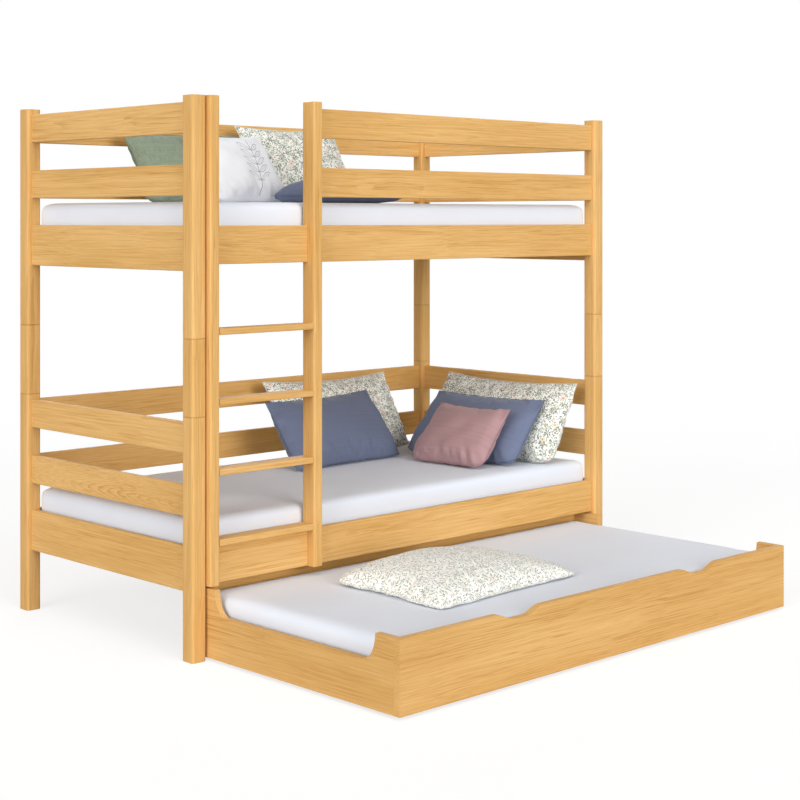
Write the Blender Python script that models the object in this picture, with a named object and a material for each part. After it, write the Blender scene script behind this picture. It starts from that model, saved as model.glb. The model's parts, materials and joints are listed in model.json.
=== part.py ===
"""A wooden bunk bed with a ladder, a trundle drawer on castors, three mattresses and ten pillows.

Metres, +Z up. The origin is on the floor, under the middle of the bed with its drawer pulled out.
X runs along the bed, and the drawer comes out towards -Y.
"""

import math
from collections import namedtuple

import bmesh
import bpy
from mathutils import Matrix, Vector
from mathutils.bvhtree import BVHTree

X, Y, Z = range(3)

ROUND_SHARE = 0.5  # the profile of a bevel that is round

# Fits shared by all pieces
SEAT = 0.0003  # the gap left between two pieces that touch
OVERRUN = 0.010  # how far a cutter runs past the face that it cuts

# Mattresses in the two bunks
MATTRESS_LENGTH = 2.016
MATTRESS_WIDTH = 0.914
MATTRESS_THICK = 0.120
MATTRESS_PLAY = 0.005  # from its sides to the boards round it
MATTRESS_SUNK = 0.043  # how far its underside lies below the bed board's top
MATTRESS_CORNER = 0.042
MATTRESS_EDGE = 0.045

# Posts, in three lengths: one for each bunk, and a spacer between them that is part of the lower piece
POST_SIDE = 0.056
POST_ROUND = 0.009
POST_ABOVE_BED = 0.416  # how far a post stands above the bed board at its bunk
SPACER_LONG = 0.248
POST_EASE = 0.001  # the small bevel round the ends of posts and stiles
PIN_RADIUS = 0.008
PIN_REACH = 0.040

POST_STEPS = 3

# Boards, all centred on the posts
BOARD_THICK = 0.022
BOARD_ROUND = 0.003
RAIL_HIGH = 0.100
RAIL_GAP = 0.100
FIRST_GAP = 0.096
LONG_BED_BOARD_HIGH = 0.124
END_BED_BOARD_HIGH = 0.145
LOWER_BED_TOP = 0.361
BUNK_RISE = 1.023

# Dowels in the ends of boards, rungs and drawer sides
DOWEL_RADIUS = 0.005
DOWEL_WALL = 0.003  # the wood left beyond a dowel's bore
DOWEL_SIDES = 6
DOWEL_SHARES = (0.28, 0.72)

# The ladder
STILE_WIDE = 0.040
STILE_DEEP = 0.060
STILE_PROUD = 0.017
STILE_ROUND = 0.007
STILE_GAP = 0.002
LADDER_CLEAR = 0.409
RUNG_COUNT = 4
RUNG_THICK = 0.021
RUNG_PITCH = 0.2245
RUNG_SETBACK = 0.002

# Slat bases
SLAT_COUNT = 14
SLAT_WIDE = 0.070
SLAT_THICK = 0.015
SLAT_LET_IN = 0.003
SLAT_END_PLAY = 0.002
LEDGER_WIDE = 0.024
LEDGER_HIGH = 0.030
LEDGER_END_PLAY = 0.004

# The drawer
DRAWER_END_GAP = 0.006
DRAWER_DEEP = 0.950
DRAWER_TUCK = 0.101  # how far the drawer's back stays behind the front of the posts when it is pulled out
DRAWER_LIFT = 0.010
DRAWER_HIGH = 0.220
PANEL_THICK = 0.022
PANEL_ROUND = 0.003
SCOOP_DEEP = 0.082
SCOOP_CURVE = 0.050
SCOOP_FRONT = 0.097
SCOOP_REAR = 0.135
SCOOP_STEPS = 6
NOTCH_LONG = 0.215
NOTCH_DEEP = 0.022
NOTCH_FROM_MIDDLE = 0.470
NOTCH_STEPS = 5
NOTCH_RAMP_SHARE = 0.36
BEARER_WIDE = 0.060
BEARER_HIGH = 0.030
DRAWER_SLAT_COUNT = 13
DRAWER_MATTRESS_THICK = 0.100
DRAWER_MATTRESS_END_PLAY = 0.008
DRAWER_MATTRESS_SIDE_PLAY = 0.003
DRAWER_MATTRESS_TOP = 0.205

# Castors under the drawer's bearers
WHEEL_RADIUS = 0.025
WHEEL_WIDE = 0.020
WHEEL_ROUND = 0.002
WHEEL_SIDES = 16
WHEEL_FROM_END = 0.240
AXLE_RADIUS = 0.004
AXLE_PLAY = 0.0005
AXLE_SIDES = 10
CHEEK_THICK = 0.004
CHEEK_LONG = 0.022
CHEEK_PLAY = 0.0015
CHEEK_BELOW_AXLE = 0.008

# Pillows
PILLOW_UNIT = 0.700  # the length that the sizes of all pillows are shares of
PILLOW_COLUMNS = 12
PILLOW_ROWS = 8
PILLOW_DRAWN_SHARE = 0.07  # how far the middle of each side is drawn in
SLUMP_SHARE = 0.22  # how much a leaning pillow's filling has sunk
TUCK_SHARE = 0.12  # how far a leaning pillow's lower corners are rounded up
NARROW_SHARE = 0.04  # how far they are drawn in
CROWN_RATIO = 0.42  # the power that rounds its section: an ellipse has 0.5, and less is fuller
LYING_UNDER_SHARE = 0.22  # the part of a lying pillow's thickness below its seam
PUSH_REACH = 0.300
PUSH_STEPS = 40
PUSH_EASE = 0.0006
LYING_ANGLE = 90.0

# Worked out from the sizes above
BOARD_INSET = (POST_SIDE - BOARD_THICK) / 2
BED_LENGTH = MATTRESS_LENGTH + 2 * (MATTRESS_PLAY + BOARD_THICK + BOARD_INSET)
BED_WIDTH = MATTRESS_WIDTH + 2 * (MATTRESS_PLAY + BOARD_THICK + BOARD_INSET)
DRAWER_OUT = DRAWER_DEEP - DRAWER_TUCK
LEFT, RIGHT = -BED_LENGTH / 2, BED_LENGTH / 2
FRONT = (DRAWER_OUT - BED_WIDTH) / 2
BACK = FRONT + BED_WIDTH
UPPER_BED_TOP = LOWER_BED_TOP + BUNK_RISE
SPACER_SEAM = LOWER_BED_TOP + POST_ABOVE_BED
POST_SEAM = SPACER_SEAM + SPACER_LONG
BED_HEIGHT = UPPER_BED_TOP + POST_ABOVE_BED
BED_TOPS = {"lower": LOWER_BED_TOP, "upper": UPPER_BED_TOP}
LEFT_STILE = LEFT + POST_SIDE + STILE_GAP
RIGHT_STILE = LEFT_STILE + STILE_WIDE + LADDER_CLEAR
DRAWER_FACE = FRONT - DRAWER_OUT
DRAWER_REAR = DRAWER_FACE + DRAWER_DEEP
DRAWER_LEFT = LEFT + POST_SIDE + DRAWER_END_GAP
DRAWER_RIGHT = RIGHT - POST_SIDE - DRAWER_END_GAP
DRAWER_TOP = DRAWER_LIFT + DRAWER_HIGH
DRAWER_MIDDLE = (DRAWER_FACE + DRAWER_REAR) / 2
DRAWER_MATTRESS_LENGTH = DRAWER_RIGHT - DRAWER_LEFT - 2 * (PANEL_THICK + DRAWER_MATTRESS_END_PLAY)
DRAWER_MATTRESS_WIDTH = DRAWER_DEEP - 2 * (PANEL_THICK + DRAWER_MATTRESS_SIDE_PLAY)

COLOURS = {
    "pine": ((0.78, 0.47, 0.17), 0.45, 0.0),
    "castor": ((0.06, 0.06, 0.065), 0.5, 0.0),
    "mattress_cover": ((0.80, 0.80, 0.83), 0.9, 0.0),
    "flower_cotton": ((0.80, 0.77, 0.68), 0.9, 0.0),
    "blue_cotton": ((0.15, 0.18, 0.31), 0.9, 0.0),
    "pink_cotton": ((0.48, 0.25, 0.28), 0.9, 0.0),
    "sage_cotton": ((0.24, 0.33, 0.22), 0.9, 0.0),
    "white_cotton": ((0.85, 0.84, 0.82), 0.9, 0.0),
}

# Each pillow's width, height and thickness are shares of PILLOW_UNIT. A leaning pillow's spot is the
# middle of its lower edge, and a lying one's is its centre. Spots are shares of the mattress, from its
# left end and its front. The pillows in behind stop one pushed back.
Pillow = namedtuple("Pillow", "name bed size_shares lean turn spot_shares cover behind")
PILLOWS = (
    Pillow(
        "lower_back_flower_pillow", "lower", (0.953, 0.507, 0.179), 25.6, -1.6, (0.6632, 0.745),
        "flower_cotton", (),
    ),
    Pillow(
        "lower_back_blue_pillow", "lower", (0.829, 0.443, 0.164), 35.9, 2.1, (0.5933, 0.578), "blue_cotton",
        ("lower_back_flower_pillow",),
    ),
    Pillow(
        "lower_end_flower_pillow", "lower", (0.991, 0.513, 0.179), 27.8, -90.7, (0.8765, 0.357),
        "flower_cotton", (),
    ),
    Pillow(
        "lower_end_blue_pillow", "lower", (0.776, 0.436, 0.157), 38.9, -87.3, (0.790, 0.3315), "blue_cotton",
        ("lower_end_flower_pillow",),
    ),
    Pillow(
        "lower_end_pink_pillow", "lower", (0.520, 0.410, 0.143), 41.2, -90.0, (0.719, 0.291), "pink_cotton",
        ("lower_end_blue_pillow",),
    ),
    Pillow(
        "upper_flower_pillow", "upper", (0.759, 0.506, 0.171), 27.0, 0.0, (0.569, 0.756), "flower_cotton",
        (),
    ),
    Pillow(
        "upper_sage_pillow", "upper", (0.793, 0.443, 0.164), 28.0, 0.0, (0.2955, 0.756), "sage_cotton",
        (),
    ),
    Pillow(
        "upper_white_pillow", "upper", (0.529, 0.466, 0.150), 35.6, 0.0, (0.360, 0.608), "white_cotton",
        ("upper_sage_pillow", "upper_flower_pillow"),
    ),
    Pillow(
        "upper_blue_pillow", "upper", (0.600, 0.414, 0.143), LYING_ANGLE, 0.0, (0.4836, 0.3895),
        "blue_cotton", (),
    ),
    Pillow(
        "drawer_flower_pillow", "drawer", (0.985, 0.750, 0.136), LYING_ANGLE, 4.5, (0.3734, 0.5039),
        "flower_cotton", (),
    ),
)

# The bores that each post, stile and drawer panel needs, collected while its boards are made
holder_bores = {}


def clear_scene():
    for obj in list(bpy.data.objects):
        bpy.data.objects.remove(obj, do_unlink=True)


def material_for(name, kind):
    """A new Principled material of one kind, named for its piece."""
    colour, roughness, metallic = COLOURS[kind]
    made = bpy.data.materials.new(f"{name}_{kind}")
    made.use_nodes = True
    shader = made.node_tree.nodes["Principled BSDF"]
    shader.inputs["Base Color"].default_value = (*colour, 1)
    shader.inputs["Roughness"].default_value = roughness
    shader.inputs["Metallic"].default_value = metallic
    made.diffuse_color = (*colour, 1)
    return made


def object_from(name, bm, kind=None, parent=None, smooth_angle=None):
    """A linked object that takes this mesh. Without a kind of material it is a hidden helper."""
    mesh = bpy.data.meshes.new(name)
    bm.to_mesh(mesh)
    bm.free()
    obj = bpy.data.objects.new(name, mesh)
    bpy.context.scene.collection.objects.link(obj)
    if kind:
        mesh.materials.append(material_for(name, kind))
    else:
        obj.hide_render = True
        obj.display_type = "WIRE"
    if parent:
        obj.parent = parent
        obj.location = -parent.location
    if smooth_angle:
        mesh.shade_smooth()
        mesh.set_sharp_from_angle(angle=math.radians(smooth_angle))
    return obj


def empty_at(name, location):
    """An empty that carries one moving group."""
    empty = bpy.data.objects.new(name, None)
    empty.location = location
    bpy.context.scene.collection.objects.link(empty)
    return empty


def with_boolean(obj, helper, operation):
    modifier = obj.modifiers.new(helper.name, "BOOLEAN")
    modifier.operation = operation
    modifier.solver = "EXACT"
    modifier.object = helper


def add_block(bm, low, high):
    """Adds a box between two corners."""
    low, high = Vector(low), Vector(high)
    verts = bmesh.ops.create_cube(bm, size=1)["verts"]
    bmesh.ops.scale(bm, vec=high - low, verts=verts)
    bmesh.ops.translate(bm, vec=(low + high) / 2, verts=verts)


def edges_along(bm, axis):
    """The straight edges that run along one axis."""
    runs = ((edge, edge.verts[1].co - edge.verts[0].co) for edge in bm.edges)
    return [edge for edge, run in runs if math.isclose(abs(run[axis]), run.length, rel_tol=1e-5)]


def rounded_block(low, high, axis, radius):
    """A box whose four edges along one axis are rounded."""
    bm = bmesh.new()
    add_block(bm, low, high)
    edges = edges_along(bm, axis)
    bmesh.ops.bevel(bm, geom=edges, offset=radius, segments=2, profile=ROUND_SHARE, affect="EDGES")
    return bm


def eased_post(low, high, levels, radius):
    """A standing post with rounded corners. Each level is a height, and how far it is drawn in there."""
    bm = bmesh.new()
    corners = [
        (high[X] - radius, high[Y] - radius), (low[X] + radius, high[Y] - radius),
        (low[X] + radius, low[Y] + radius), (high[X] - radius, low[Y] + radius),
    ]
    rings = []
    for height, inset in levels:
        ring, out = [], radius - inset
        for quarter, (x, y) in enumerate(corners):
            for step in range(POST_STEPS + 1):
                angle = math.pi / 2 * (quarter + step / POST_STEPS)
                ring.append(bm.verts.new((x + out * math.cos(angle), y + out * math.sin(angle), height)))
        rings.append(ring)
    for ring, above in zip(rings, rings[1:]):
        for point in range(len(ring)):
            bm.faces.new((ring[point - 1], ring[point], above[point], above[point - 1]))
    bm.faces.new(rings[0][::-1])
    bm.faces.new(rings[-1])
    return bm


def add_rod(bm, start, end, radius, sides):
    """Adds a closed rod between two points."""
    start, end = Vector(start), Vector(end)
    turn = (end - start).to_track_quat("Z", "Y").to_matrix().to_4x4()
    place = Matrix.Translation((start + end) / 2) @ turn
    length = (end - start).length
    bmesh.ops.create_cone(
        bm, cap_ends=True, segments=sides, radius1=radius, radius2=radius, depth=length, matrix=place
    )


def extruded(points, axis, start, end):
    """A prism whose outline, in the two other axes, runs from start to end along this axis."""
    across, up = [other for other in (X, Y, Z) if other != axis]
    bm = bmesh.new()
    outline = []
    for u, v in points:
        place = Vector()
        place[axis], place[across], place[up] = start, u, v
        outline.append(bm.verts.new(place))
    grown = bmesh.ops.extrude_face_region(bm, geom=[bm.faces.new(outline)])["geom"]
    sweep = Vector()
    sweep[axis] = end - start
    moved = [item for item in grown if isinstance(item, bmesh.types.BMVert)]
    bmesh.ops.translate(bm, vec=sweep, verts=moved)
    bmesh.ops.recalc_face_normals(bm, faces=bm.faces)
    return bm


def around_polygon(radius, sides):
    """The corner radius of a polygon whose flats lie at this radius."""
    return radius / math.cos(math.pi / sides)


def dowel_reach(holder):
    """Short of the bore that may cross in a post or stile, and not quite through a drawer panel."""
    if "panel" in holder:
        return PANEL_THICK - 2 * DOWEL_WALL
    side = STILE_WIDE if "stile" in holder else POST_SIDE
    return side / 2 - DOWEL_RADIUS - DOWEL_WALL


def fit_dowels(board, low, high, run, spread, holders):
    """Joins two dowels to each end of a board, and notes the bores that they need in the holders."""
    rods = bmesh.new()
    for holder, end, out in ((holders[0], low[run], -1), (holders[1], high[run], 1)):
        for share in DOWEL_SHARES:
            root = (Vector(low) + Vector(high)) / 2
            root[spread] = low[spread] + share * (high[spread] - low[spread])
            root[run] = end - out * dowel_reach(holder)
            tip, bottom = root.copy(), root.copy()
            tip[run] = end + out * dowel_reach(holder)
            bottom[run] = tip[run] + out * 2 * SEAT
            add_rod(rods, root, tip, DOWEL_RADIUS, DOWEL_SIDES)
            holder_bores.setdefault(holder, []).append((root, bottom))
    with_boolean(board, object_from(f"{board.name}_dowels", rods), "UNION")


def cut_bores(holder):
    """Cuts the bores for the dowels that enter this post, stile or panel."""
    cutters = bmesh.new()
    for start, end in holder_bores[holder.name]:
        add_rod(cutters, start, end, around_polygon(DOWEL_RADIUS + SEAT, DOWEL_SIDES), DOWEL_SIDES)
    with_boolean(holder, object_from(f"{holder.name}_bores", cutters), "DIFFERENCE")


def make_board(name, low, high, run, holders, spread=Z):
    """One board with rounded long edges and its dowels."""
    board = object_from(name, rounded_block(low, high, run, BOARD_ROUND), "pine")
    fit_dowels(board, low, high, run, spread, holders)


def board_levels(bunk, bed_board_high):
    """The name, bottom and top of the three boards on one side of a bunk."""
    bed_top = BED_TOPS[bunk]
    middle = bed_top + FIRST_GAP
    top = middle + RAIL_HIGH + RAIL_GAP
    return (
        ("bed_board", bed_top - bed_board_high, bed_top),
        ("middle_rail", middle, middle + RAIL_HIGH),
        ("top_rail", top, top + RAIL_HIGH),
    )


def make_end_boards(bunk):
    """Three boards at each end of a bunk, between the front and the back post."""
    start, end = FRONT + POST_SIDE + SEAT, BACK - POST_SIDE - SEAT
    for side, outer in (("left", LEFT + BOARD_INSET), ("right", RIGHT - BOARD_INSET - BOARD_THICK)):
        holders = (f"front_{side}_{bunk}_post", f"back_{side}_{bunk}_post")
        for kind, bottom, top in board_levels(bunk, END_BED_BOARD_HIGH):
            low, high = (outer, start, bottom), (outer + BOARD_THICK, end, top)
            make_board(f"{bunk}_{side}_{kind}", low, high, Y, holders)


def make_long_boards(bunk):
    """The back's three boards, the front bed board and, on the upper bunk, two guards past the ladder."""
    start, end = LEFT + POST_SIDE + SEAT, RIGHT - POST_SIDE - SEAT
    guard_start = RIGHT_STILE + STILE_WIDE + SEAT
    back_face = BACK - BOARD_INSET - BOARD_THICK
    front_face = FRONT + BOARD_INSET
    for kind, bottom, top in board_levels(bunk, LONG_BED_BOARD_HIGH):
        low, high = (start, back_face, bottom), (end, back_face + BOARD_THICK, top)
        holders = (f"back_left_{bunk}_post", f"back_right_{bunk}_post")
        make_board(f"{bunk}_back_{kind}", low, high, X, holders)
        if kind != "bed_board" and bunk == "lower":
            continue
        first, holder = (start, f"front_left_{bunk}_post")
        if kind != "bed_board":
            first, holder = (guard_start, "ladder_right_stile")
        low, high = (first, front_face, bottom), (end, front_face + BOARD_THICK, top)
        make_board(f"{bunk}_front_{kind}", low, high, X, (holder, f"front_right_{bunk}_post"))


def eased_levels(*heights):
    """Levels from the lowest height to the highest, with a small bevel at both and a groove between."""
    levels = []
    for height in heights:
        levels += [(height - POST_EASE, 0.0), (height, POST_EASE), (height + POST_EASE, 0.0)]
    return levels[1:-1]


def make_post(name, x, y, bunk):
    """One length of a post: the lower one, grooved where its spacer begins, carries the pin."""
    lower = bunk == "lower"
    heights = (0.0, SPACER_SEAM, POST_SEAM) if lower else (POST_SEAM + SEAT, BED_HEIGHT)
    body = eased_post((x, y), (x + POST_SIDE, y + POST_SIDE), eased_levels(*heights), POST_ROUND)
    post = object_from(name, body, "pine", smooth_angle=35)
    cut_bores(post)
    middle = Vector((x + POST_SIDE / 2, y + POST_SIDE / 2, POST_SEAM))
    play = 0.0 if lower else SEAT
    reach = Vector((0, 0, PIN_REACH + play))
    pin = bmesh.new()
    add_rod(pin, middle - reach, middle + reach, around_polygon(PIN_RADIUS + play, DOWEL_SIDES), DOWEL_SIDES)
    with_boolean(post, object_from(f"{name}_pin", pin), "UNION" if lower else "DIFFERENCE")


def make_posts():
    for side, x in (("left", LEFT), ("right", RIGHT - POST_SIDE)):
        for face, y in (("front", FRONT), ("back", BACK - POST_SIDE)):
            for bunk in BED_TOPS:
                make_post(f"{face}_{side}_{bunk}_post", x, y, bunk)


def make_rungs():
    """Rungs between the stiles, the first lying on the lower front bed board."""
    front = FRONT - STILE_PROUD
    for number in range(RUNG_COUNT):
        bottom = LOWER_BED_TOP + SEAT + number * RUNG_PITCH
        low = (LEFT_STILE + STILE_WIDE + SEAT, front + RUNG_SETBACK, bottom)
        high = (RIGHT_STILE - SEAT, front + STILE_DEEP, bottom + RUNG_THICK)
        holders = ("ladder_left_stile", "ladder_right_stile")
        make_board(f"ladder_rung_{number + 1}", low, high, X, holders, spread=Y)


def make_stiles():
    """The ladder's two sides, notched round the front bed boards."""
    front, foot = FRONT - STILE_PROUD, LOWER_BED_TOP - LONG_BED_BOARD_HIGH
    back = front + STILE_DEEP
    for name, x in (("ladder_left_stile", LEFT_STILE), ("ladder_right_stile", RIGHT_STILE)):
        levels = eased_levels(foot, BED_HEIGHT)
        body = eased_post((x, front), (x + STILE_WIDE, back), levels, STILE_ROUND)
        stile = object_from(name, body, "pine", smooth_angle=35)
        notches = bmesh.new()
        for bunk, below in (("lower", OVERRUN), ("upper", SEAT)):
            bed_top = BED_TOPS[bunk]
            low = (x - OVERRUN, FRONT + BOARD_INSET - SEAT, bed_top - LONG_BED_BOARD_HIGH - below)
            add_block(notches, low, (x + STILE_WIDE + OVERRUN, back + OVERRUN, bed_top + SEAT))
        with_boolean(stile, object_from(f"{name}_notches", notches), "DIFFERENCE")
        cut_bores(stile)


def slatted_base(name, low, high, top, count, ledger_wide, ledger_high, parent=None):
    """Two ledgers along X inside the corners low and high, with slats let into them."""
    under = top - SLAT_THICK
    start, end = low[X] + LEDGER_END_PLAY, high[X] - LEDGER_END_PLAY
    ledgers = bmesh.new()
    for y in (low[Y], high[Y] - ledger_wide):
        add_block(ledgers, (start, y, under - ledger_high), (end, y + ledger_wide, under + SLAT_LET_IN))
    base = object_from(name, ledgers, "pine", parent)
    slats = bmesh.new()
    step = (end - start - 2 * SLAT_WIDE) / (count - 1)
    for number in range(count):
        x = start + SLAT_WIDE / 2 + number * step
        add_block(slats, (x, low[Y] + SLAT_END_PLAY, under), (x + SLAT_WIDE, high[Y] - SLAT_END_PLAY, top))
    with_boolean(base, object_from(f"{name}_slats", slats), "UNION")
    return base


def make_bunk_bases():
    """One base in each bunk, its ledgers on the inner faces of the front and back bed boards."""
    inset = BOARD_INSET + BOARD_THICK + SEAT
    low, high = (LEFT + POST_SIDE, FRONT + inset), (RIGHT - POST_SIDE, BACK - inset)
    for bunk, bed_top in BED_TOPS.items():
        top = bed_top - MATTRESS_SUNK - SEAT
        slatted_base(f"{bunk}_slat_base", low, high, top, SLAT_COUNT, LEDGER_WIDE, LEDGER_HIGH)


def make_mattress(name, middle_y, top, size, parent=None):
    """A mattress centred along the bed, with rounded corners and soft edges."""
    length, width, thick = size
    bm = bmesh.new()
    add_block(
        bm, (-length / 2, middle_y - width / 2, top - thick), (length / 2, middle_y + width / 2, top)
    )
    bmesh.ops.bevel(
        bm, geom=edges_along(bm, Z), offset=MATTRESS_CORNER, segments=4, profile=ROUND_SHARE, affect="EDGES"
    )
    rims = [edge for edge in bm.edges if math.isclose(edge.verts[0].co.z, edge.verts[1].co.z)]
    bmesh.ops.bevel(bm, geom=rims, offset=MATTRESS_EDGE, segments=3, profile=ROUND_SHARE, affect="EDGES")
    return object_from(name, bm, "mattress_cover", parent, smooth_angle=50)


def mattress_plans():
    """Each bed's mattress: its middle across the bed, its top and its length, width and thickness."""
    bunk_size = (MATTRESS_LENGTH, MATTRESS_WIDTH, MATTRESS_THICK)
    drawer_size = (DRAWER_MATTRESS_LENGTH, DRAWER_MATTRESS_WIDTH, DRAWER_MATTRESS_THICK)
    rise = MATTRESS_THICK - MATTRESS_SUNK
    middle = (FRONT + BACK) / 2
    plans = {bunk: (middle, bed_top + rise, bunk_size) for bunk, bed_top in BED_TOPS.items()}
    plans["drawer"] = (DRAWER_MIDDLE, DRAWER_MATTRESS_TOP, drawer_size)
    return plans


def make_side_panel(name, x, drawer):
    """A drawer side with a long scoop in its top edge, dowelled to the front and back panels."""
    start = DRAWER_FACE + PANEL_THICK + SEAT
    end = DRAWER_REAR - PANEL_THICK - SEAT
    outline = [(start, DRAWER_LIFT), (end, DRAWER_LIFT), (end, DRAWER_TOP)]
    for y, towards in ((DRAWER_REAR - SCOOP_REAR, -1), (DRAWER_FACE + SCOOP_FRONT, 1)):
        curve = []
        for step in range(SCOOP_STEPS + 1):
            angle = math.pi / 2 * step / SCOOP_STEPS
            run, drop = SCOOP_CURVE * (1 - math.cos(angle)), SCOOP_DEEP * math.sin(angle)
            curve.append((y + towards * run, DRAWER_TOP - drop))
        outline += curve if towards < 0 else reversed(curve)
    outline.append((start, DRAWER_TOP))
    panel = object_from(name, extruded(outline, X, x, x + PANEL_THICK), "pine", drawer)
    low, high = (x, start, DRAWER_LIFT), (x + PANEL_THICK, end, DRAWER_TOP)
    fit_dowels(panel, low, high, Y, Z, ("drawer_front_panel", "drawer_back_panel"))


def notch_outline(middle):
    """The points of one finger notch in the front panel's top edge, from right to left."""
    ramp = NOTCH_LONG * NOTCH_RAMP_SHARE
    points = []
    for side in (1, -1):
        curve = []
        for step in range(NOTCH_STEPS + 1):
            along = step / NOTCH_STEPS
            drop = NOTCH_DEEP * (1 - math.cos(math.pi * along)) / 2
            curve.append((middle + side * (NOTCH_LONG / 2 - ramp * along), DRAWER_TOP - drop))
        points += curve if side > 0 else reversed(curve)
    return points


def make_front_panel(drawer):
    """The drawer's face, with two finger notches in its top edge."""
    outline = [(DRAWER_LEFT, DRAWER_LIFT), (DRAWER_RIGHT, DRAWER_LIFT), (DRAWER_RIGHT, DRAWER_TOP)]
    outline += notch_outline(NOTCH_FROM_MIDDLE) + notch_outline(-NOTCH_FROM_MIDDLE)
    outline.append((DRAWER_LEFT, DRAWER_TOP))
    body = extruded(outline, Y, DRAWER_FACE, DRAWER_FACE + PANEL_THICK)
    panel = object_from("drawer_front_panel", body, "pine", drawer)
    cut_bores(panel)


def make_back_panel(drawer):
    low = (DRAWER_LEFT, DRAWER_REAR - PANEL_THICK, DRAWER_LIFT)
    high = (DRAWER_RIGHT, DRAWER_REAR, DRAWER_TOP)
    panel = object_from("drawer_back_panel", rounded_block(low, high, X, PANEL_ROUND), "pine", drawer)
    cut_bores(panel)


def turned_ring(profile, sides):
    """A closed ring about the X axis from a closed profile of (x, radius) points."""
    bm = bmesh.new()
    rings = []
    for step in range(sides):
        angle = 2 * math.pi * step / sides - math.pi / 2
        across, up = math.cos(angle), math.sin(angle)
        rings.append([bm.verts.new((x, radius * across, radius * up)) for x, radius in profile])
    for ring, following in zip(rings, rings[1:] + rings[:1]):
        for point in range(len(profile)):
            bm.faces.new((ring[point - 1], ring[point], following[point], following[point - 1]))
    bmesh.ops.recalc_face_normals(bm, faces=bm.faces)
    return bm


def wheel_places():
    """The axle centre of each castor, under the bearers and in from the drawer's ends."""
    inset = PANEL_THICK + SEAT + BEARER_WIDE / 2
    for face, y in (("front", DRAWER_FACE + inset), ("back", DRAWER_REAR - inset)):
        for side, x in (("left", DRAWER_LEFT + WHEEL_FROM_END), ("right", DRAWER_RIGHT - WHEEL_FROM_END)):
            yield f"{face}_{side}_wheel", Vector((x, y, WHEEL_RADIUS))


def make_wheels(drawer):
    """Four wheels, each with its origin on its axle."""
    half, edge = WHEEL_WIDE / 2, WHEEL_RADIUS - WHEEL_ROUND
    bore = around_polygon(AXLE_RADIUS + AXLE_PLAY, WHEEL_SIDES)
    rim = half - WHEEL_ROUND
    profile = [(-half, bore), (-half, edge), (-rim, WHEEL_RADIUS)]
    profile += [(-x, radius) for x, radius in reversed(profile)]
    for name, centre in wheel_places():
        wheel = object_from(name, turned_ring(profile, WHEEL_SIDES), "castor", drawer, smooth_angle=35)
        wheel.location = centre - drawer.location


def make_drawer_base(drawer):
    """The drawer's slats on two bearers, with a forked castor housing and its axle over each wheel."""
    inset = PANEL_THICK + SEAT
    low, high = (DRAWER_LEFT + inset, DRAWER_FACE + inset), (DRAWER_RIGHT - inset, DRAWER_REAR - inset)
    top = DRAWER_MATTRESS_TOP - DRAWER_MATTRESS_THICK - SEAT
    base = slatted_base(
        "drawer_slat_base", low, high, top, DRAWER_SLAT_COUNT, BEARER_WIDE, BEARER_HIGH, drawer
    )
    cheeks, axles = bmesh.new(), bmesh.new()
    cheek_top = top - SLAT_THICK - BEARER_HIGH + SLAT_LET_IN
    inner = WHEEL_WIDE / 2 + CHEEK_PLAY
    for name, centre in wheel_places():
        for x in (centre.x - inner - CHEEK_THICK, centre.x + inner):
            foot = (x, centre.y - CHEEK_LONG / 2, centre.z - CHEEK_BELOW_AXLE)
            add_block(cheeks, foot, (x + CHEEK_THICK, centre.y + CHEEK_LONG / 2, cheek_top))
        reach = Vector((inner + CHEEK_THICK / 2, 0, 0))
        add_rod(axles, centre - reach, centre + reach, AXLE_RADIUS, AXLE_SIDES)
    with_boolean(base, object_from("drawer_castor_cheeks", cheeks), "UNION")
    with_boolean(base, object_from("drawer_castor_axles", axles), "UNION")


def pillow_form(size, lying):
    """A closed pad in its own plane: corners stand out, sides are drawn in, and both faces are crowned."""
    wide, high, thick = size
    under_share = LYING_UNDER_SHARE if lying else 1 / 2
    slump, tuck, narrow = (0.0, 0.0, 0.0) if lying else (SLUMP_SHARE, TUCK_SHARE, NARROW_SHARE)
    bm = bmesh.new()
    seam = {}
    for depth in (thick * (1 - under_share), -thick * under_share):
        rows = []
        for row in range(PILLOW_ROWS + 1):
            v = math.sin(math.pi * (row / PILLOW_ROWS - 0.5))
            rows.append([])
            for column in range(PILLOW_COLUMNS + 1):
                u = math.sin(math.pi * (column / PILLOW_COLUMNS - 0.5))
                low_down = min(v, 0) ** 2
                x = u * wide / 2 * (1 - PILLOW_DRAWN_SHARE * (1 - v * v) - narrow * low_down)
                y = v * high / 2 * (1 - PILLOW_DRAWN_SHARE * (1 - u * u))
                y += high * tuck * low_down * u**6
                if row in (0, PILLOW_ROWS) or column in (0, PILLOW_COLUMNS):
                    if (row, column) not in seam:
                        seam[row, column] = bm.verts.new((x, y, 0))
                    rows[row].append(seam[row, column])
                else:
                    crown = ((1 - u * u) * (1 - v * v)) ** CROWN_RATIO * (1 - slump * v)
                    rows[row].append(bm.verts.new((x, y, depth * crown)))
        for row, following in zip(rows, rows[1:]):
            for column in range(PILLOW_COLUMNS):
                corners = (row[column], row[column + 1], following[column + 1], following[column])
                bm.faces.new(corners if depth > 0 else corners[::-1])
    return bm


def tree_of(bm):
    bm.verts.ensure_lookup_table()
    return BVHTree.FromBMesh(bm)


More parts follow.
